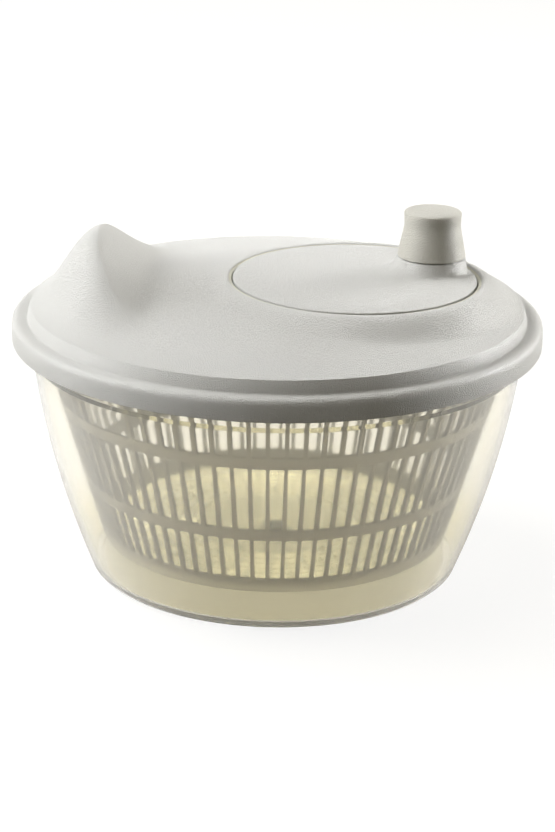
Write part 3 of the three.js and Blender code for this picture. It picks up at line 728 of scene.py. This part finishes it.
def build_knob():
    k = KNOB
    side = k["waist"]
    profile = rounded(
        [
            (0, 158),
            (1.8, 158),
            (1.8, 141.8),
            (4, 141.8, 0.3),
            (4, 164.8, 0.5),
            (side - 2.3, 163.8, 0.8),
            (k["r"] - 2.3, k["base"], 0.3),
            (k["r"], k["base"], 0.35),
            (k["r"] - 0.05, k["base"] + 0.9, 0.5),
            (side + 0.06, 162.2, 6.0),
            (side + 0.3, k["top"] - 2.2, 0.9),
            (side + 0.25, k["top"] - 0.95, 0.5),
            (side - 0.5, k["top"] - 0.35, 0.6),
            (side - 4.5, k["top"] - 0.12, 3),
            (0, k["top"]),
        ],
        7,
    )
    skin = Skin()
    skin.lathe(profile, 128, KNOB_X, KNOB_Y)
    return finish_mesh("knob", skin.verts, skin.faces, "knob", ["crank_knob"], pale_knob, 40)


def build_cover():
    c = COVER
    x = WELL["x"]
    skin = Skin()
    # The plate, with its two sleeves, is gathered as closed tubes that share their ends inside the plate
    plate = [(c["bore"], c["low"]), (c["r"], c["low"], 0.4), (c["r"], c["top"], 0.4)]
    plate += [(c["sleeve"], c["top"], 0.8), (c["sleeve"], c["sleeve_top"], 0.4)]
    plate += [(c["bore"], c["sleeve_top"], 0.3), (c["bore"], c["low"])]
    skin.lathe(rounded(plate), 128, x)
    low = c["low"] - 0.01
    sleeve = [(c["bush"], low), (c["sleeve"], low), (c["sleeve"], c["bush_top"]), (c["bush"], c["bush_top"])]
    skin.lathe([*sleeve, sleeve[0]], 64)
    for i in range(6):
        skin.box((8, -0.8, c["top"] - 0.5), (22, 0.8, c["sleeve_top"] - 3), (i + 0.5) * math.pi / 3, x)
    return finish_mesh("gear_plate", skin.verts, skin.faces, "lid", ["gear_cover"], pale_inner, 35)


def build_driver():
    d = DRIVER
    rim_in = d["r"] - d["rim"]
    skin = Skin()
    profile = rounded(
        [
            (0, d["hub_low"]),
            (d["hub"], d["hub_low"], 0.4),
            (d["hub"], d["inner_top"] - 2, 1.0),
            (rim_in, d["rim_low"], 2.0),
            (d["r"], d["rim_low"], 0.3),
            (d["r"], d["rim_top"], 0.5),
            (rim_in, d["rim_top"], 1.0),
            (d["hub"], d["inner_top"], 1.0),
            (d["hub"], d["hub_top"], 0.4),
            (3.3, d["hub_top"]),
            (3.3, 114.3),
            (0, 114.3),
        ]
    )
    skin.lathe(profile, 144)
    for i in range(LUGS["count"]):
        low = (LUGS["inner"], -LUGS["width"] / 2, LUGS["low"])
        high = (d["r"] - 0.3, LUGS["width"] / 2, d["rim_low"] + 0.5)
        skin.box(low, high, i * 2 * math.pi / LUGS["count"] + TURN)
    for i in range(8):
        a = (i + 0.5) * math.pi / 4 + TURN
        s = skin.points(
            [
                (r * math.cos(a) - w * math.sin(a), r * math.sin(a) + w * math.cos(a), z)
                for w in (-0.8, 0.8)
                for r, z in ((8, 114), (rim_in - 2, 113.7), (rim_in - 2, 115.6), (8, 120))
            ]
        )
        for f in ((0, 1, 2, 3), (7, 6, 5, 4), (0, 4, 5, 1), (1, 5, 6, 2), (2, 6, 7, 3), (3, 7, 4, 0)):
            skin.faces.append(tuple(s + i for i in f))
    return finish_mesh(
        "driver_plate", skin.verts, skin.faces, "driver", ["basket_driver"], pale_inner, 35
    )


build_bowl()
build_basket()
build_lid()
build_disc()
build_knob()
build_cover()
build_driver()

# CAD nodes that stay get a finish and softened edges.
STAYING = {
    acetal: ["pivot_bush", "ring_gear", "drive_pinion", "pinion_bush"],
    steel: ["axle_washer", "axle_screw", "knob_washer", "knob_screw", "thrust_washer", "driver_washer", "driver_screw"]
    + [f"cover_screw_{i}" for i in range(1, 5)],
}
for material, names in STAYING.items():
    for name in names:
        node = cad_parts[name]
        node.data.materials.clear()
        node.data.materials.append(material)
        bevel = node.modifiers.new("soft edges", "BEVEL")
        bevel.width = 0.15 * MM
        bevel.segments = 2
        bevel.limit_method = "ANGLE"
        bevel.angle_limit = math.radians(40)
        bevel.harden_normals = False

# ---- Stage, lights and camera ----------------------------------------------------------------------


def stage_light(material, seen, seen_deep, deep_tint, deep_from, near, y_dark, y_bright, dark, bright, fill):
    """Emission of one part of the stage, lengths in metres.

    Seen directly or through few clear walls it is white of strength seen. Through many walls it goes to
    strength seen_deep and, within deep_from walls, to the colour deep_tint, both less so past the radii
    near. As light on a surface, or mirrored in one, its strength goes from dark at y_dark, in front of
    the object, to bright at y_bright, behind it, and it is warm where it is dark. fill is added for
    what stands inside the bowl, more to the sides.
    """
    material.use_nodes = True
    tree = material.node_tree
    tree.nodes.clear()

    def ramp(source, low, high, start, end, kind="LINEAR"):
        node = tree.nodes.new("ShaderNodeMapRange")
        node.interpolation_type = kind
        for socket, value in (("From Min", low), ("From Max", high), ("To Min", start), ("To Max", end)):
            node.inputs[socket].default_value = value
        tree.links.new(source, node.inputs["Value"])
        return node.outputs["Result"]

    def maths(operation, a, b, clamp=False):
        node = tree.nodes.new("ShaderNodeMath")
        node.operation = operation
        node.use_clamp = clamp
        for k, source in enumerate((a, b)):
            if isinstance(source, (int, float)):
                node.inputs[k].default_value = source
            else:
                tree.links.new(source, node.inputs[k])
        return node.outputs["Value"]

    def blend(factor, a, b, kind="RGBA"):
        node = tree.nodes.new("ShaderNodeMix")
        node.data_type = kind
        tree.links.new(factor, node.inputs["Factor"])
        for name, source in (("A", a), ("B", b)):
            if isinstance(source, tuple):
                node.inputs[name].default_value = source
            else:
                tree.links.new(source, node.inputs[name])
        return node.outputs["Result"]

    path = tree.nodes.new("ShaderNodeLightPath").outputs
    coords = tree.nodes.new("ShaderNodeTexCoord").outputs["Object"]
    split = tree.nodes.new("ShaderNodeSeparateXYZ")
    tree.links.new(coords, split.inputs["Vector"])
    across, along = split.outputs["X"], split.outputs["Y"]
    walls = path["Transmission Depth"]

    # Whether the ray was scattered, or mirrored outside a wall, and how close to the bowl it ends
    mirrored = maths("MULTIPLY", path["Glossy Depth"], ramp(walls, 0, 1, 1, 0))
    bounced = maths("ADD", path["Diffuse Depth"], mirrored)
    scattered = maths("ADD", bounced, path["Is Diffuse Ray"], clamp=True)
    squared = maths("ADD", maths("MULTIPLY", across, across), maths("MULTIPLY", along, along))
    away = maths("SQRT", squared, 0)
    close = ramp(away, near[0], near[1], 1, 0, "SMOOTHSTEP")

    # Seen directly or through clear walls
    deep = maths("MULTIPLY", ramp(walls, 3.8, 6, 0, 1), maths("ADD", maths("MULTIPLY", close, 0.6), 0.4))
    seen_glow = ramp(deep, 0, 1, seen, seen_deep)
    warm_deep = maths("MULTIPLY", ramp(walls, deep_from[0], deep_from[1], 0, 1), close)
    seen_tint = blend(warm_deep, (1, 1, 1, 1), (*deep_tint, 1))

    # As light on a surface
    behind = ramp(along, y_dark, y_bright, 0, 1, "SMOOTHSTEP")
    beside = ramp(maths("ABSOLUTE", across, 0), 0.5, 5, 0.25, 5.6, "SMOOTHSTEP")
    inside = maths("MULTIPLY", ramp(walls, 2, 4, 0, fill), beside)
    lit_glow = maths("ADD", ramp(behind, 0, 1, dark, bright), inside)
    warm = maths("SUBTRACT", scattered, behind, clamp=True)
    tint = blend(warm, seen_tint, (1.0, 0.88, 0.62, 1))

    glow = tree.nodes.new("ShaderNodeEmission")
    tree.links.new(tint, glow.inputs["Color"])
    tree.links.new(blend(scattered, seen_glow, lit_glow, "FLOAT"), glow.inputs["Strength"])
    return glow


def backdrop_material():
    """White where it is seen. Its light and dark sides show only in what it lights."""
    material = bpy.data.materials.new("backdrop")
    glow = stage_light(
        material,
        seen=1.02,
        seen_deep=2.6,
        deep_tint=(0.80, 0.785, 0.735),
        deep_from=(2, 4),
        near=(50, 60),
        y_dark=-2.0,
        y_bright=4.5,
        dark=0.15,
        bright=0.73,
        fill=1.0,
    )
    tree = material.node_tree
    out = tree.nodes.new("ShaderNodeOutputMaterial")
    tree.links.new(glow.outputs["Emission"], out.inputs["Surface"])
    return material


def floor_material():
    """Pale matt floor that glows a little, so that it reads white with a soft shadow on it."""
    material = bpy.data.materials.new("floor")
    glow = stage_light(
        material,
        seen=0.87,
        seen_deep=4.6,
        deep_tint=(0.70, 0.65, 0.425),
        deep_from=(1, 4),
        near=(0.1, 0.17),
        y_dark=-0.15,
        y_bright=0.25,
        dark=0.02,
        bright=0.6,
        fill=1.0,
    )
    tree = material.node_tree
    matt = tree.nodes.new("ShaderNodeBsdfDiffuse")
    matt.inputs["Color"].default_value = (0.12, 0.115, 0.10, 1)
    both = tree.nodes.new("ShaderNodeAddShader")
    tree.links.new(glow.outputs["Emission"], both.inputs[0])
    tree.links.new(matt.outputs["BSDF"], both.inputs[1])
    out = tree.nodes.new("ShaderNodeOutputMaterial")
    tree.links.new(both.outputs["Shader"], out.inputs["Surface"])
    return material


def stage_mesh(name, verts, faces, material):
    mesh = bpy.data.meshes.new(name)
    mesh.from_pydata(verts, [], faces)
    mesh.materials.append(material)
    thing = bpy.data.objects.new(name, mesh)
    bpy.context.scene.collection.objects.link(thing)
    return thing


def build_stage():
    size = 6.0
    floor_z = cad_low.z - 0.0005
    corners = [(x * size, y * size, floor_z) for x, y in ((-1, -1), (1, -1), (1, 1), (-1, 1))]
    stage_mesh("floor", corners, [(0, 1, 2, 3)], floor_material())
    verts, faces = [], []
    around, up = 48, 12
    for i in range(up + 1):
        e = math.pi / 2 * i / up
        for j in range(around):
            a = 2 * math.pi * j / around
            level = size * math.cos(e)
            verts.append((level * math.cos(a), level * math.sin(a), floor_z - 0.05 + size * math.sin(e)))
    for i in range(up):
        for j in range(around):
            k = (j + 1) % around
            faces.append((i * around + k, i * around + j, (i + 1) * around + j, (i + 1) * around + k))
    dome = stage_mesh("backdrop", verts, faces, backdrop_material())
    dome.visible_shadow = False
    dome.rotation_euler = (0, 0, math.radians(10))


def softbox(name, place, aim, width, height, watts, colour=(1, 1, 1)):
    data = bpy.data.lights.new(name, "AREA")
    data.shape = "RECTANGLE"
    data.size, data.size_y = width, height
    data.energy = watts
    data.color = colour
    lamp = bpy.data.objects.new(name, data)
    lamp.location = place
    lamp.rotation_euler = (Vector(aim) - Vector(place)).to_track_quat("-Z", "Y").to_euler()
    lamp.visible_camera = False
    lamp.visible_transmission = False
    bpy.context.scene.collection.objects.link(lamp)


build_stage()
softbox("top", (-0.42, 0.0, 1.25), (0, 0, 0.1), 1.2, 1.0, 16.5)
softbox("left", (-1.5, 0.5, 0.7), (0, 0, 0.1), 1.5, 1.5, 69, (0.98, 1.0, 1.04))
softbox("right", (1.15, 0.7, 0.18), (0, 0, 0.1), 0.8, 0.4, 34)

world = bpy.data.worlds.new("studio")
world.use_nodes = True
world.node_tree.nodes["Background"].inputs["Color"].default_value = (1.0, 0.97, 0.9, 1)
world.node_tree.nodes["Background"].inputs["Strength"].default_value = 0.12
bpy.context.scene.world = world
bpy.context.scene.view_settings.view_transform = "Standard"

# The camera looks down at a point on the bowl's axis, and is turned a little about its own
CAMERA_DOWN = 0.3441  # radians
CAMERA_FAR = 1.1314  # metres
CAMERA_TILT = 0.0168  # radians
CAMERA_SHIFT = (0.0020, 0.0025)
LENS = 101.95
target = Vector((0, 0, 0.07))
back = Vector((0, -math.cos(CAMERA_DOWN), math.sin(CAMERA_DOWN)))
camera_data = bpy.data.cameras.new("camera")
camera_data.sensor_width = 36
camera_data.lens = LENS
camera_data.shift_x, camera_data.shift_y = CAMERA_SHIFT
camera = bpy.data.objects.new("camera", camera_data)
camera.location = target + back * CAMERA_FAR
turn = (-back).to_track_quat("-Z", "Y").to_matrix()
camera.rotation_mode = "QUATERNION"
camera.rotation_quaternion = turn.to_quaternion() @ Quaternion((0, 0, 1), CAMERA_TILT)
bpy.context.scene.collection.objects.link(camera)
bpy.context.scene.camera = camera

bpy.context.view_layer.update()
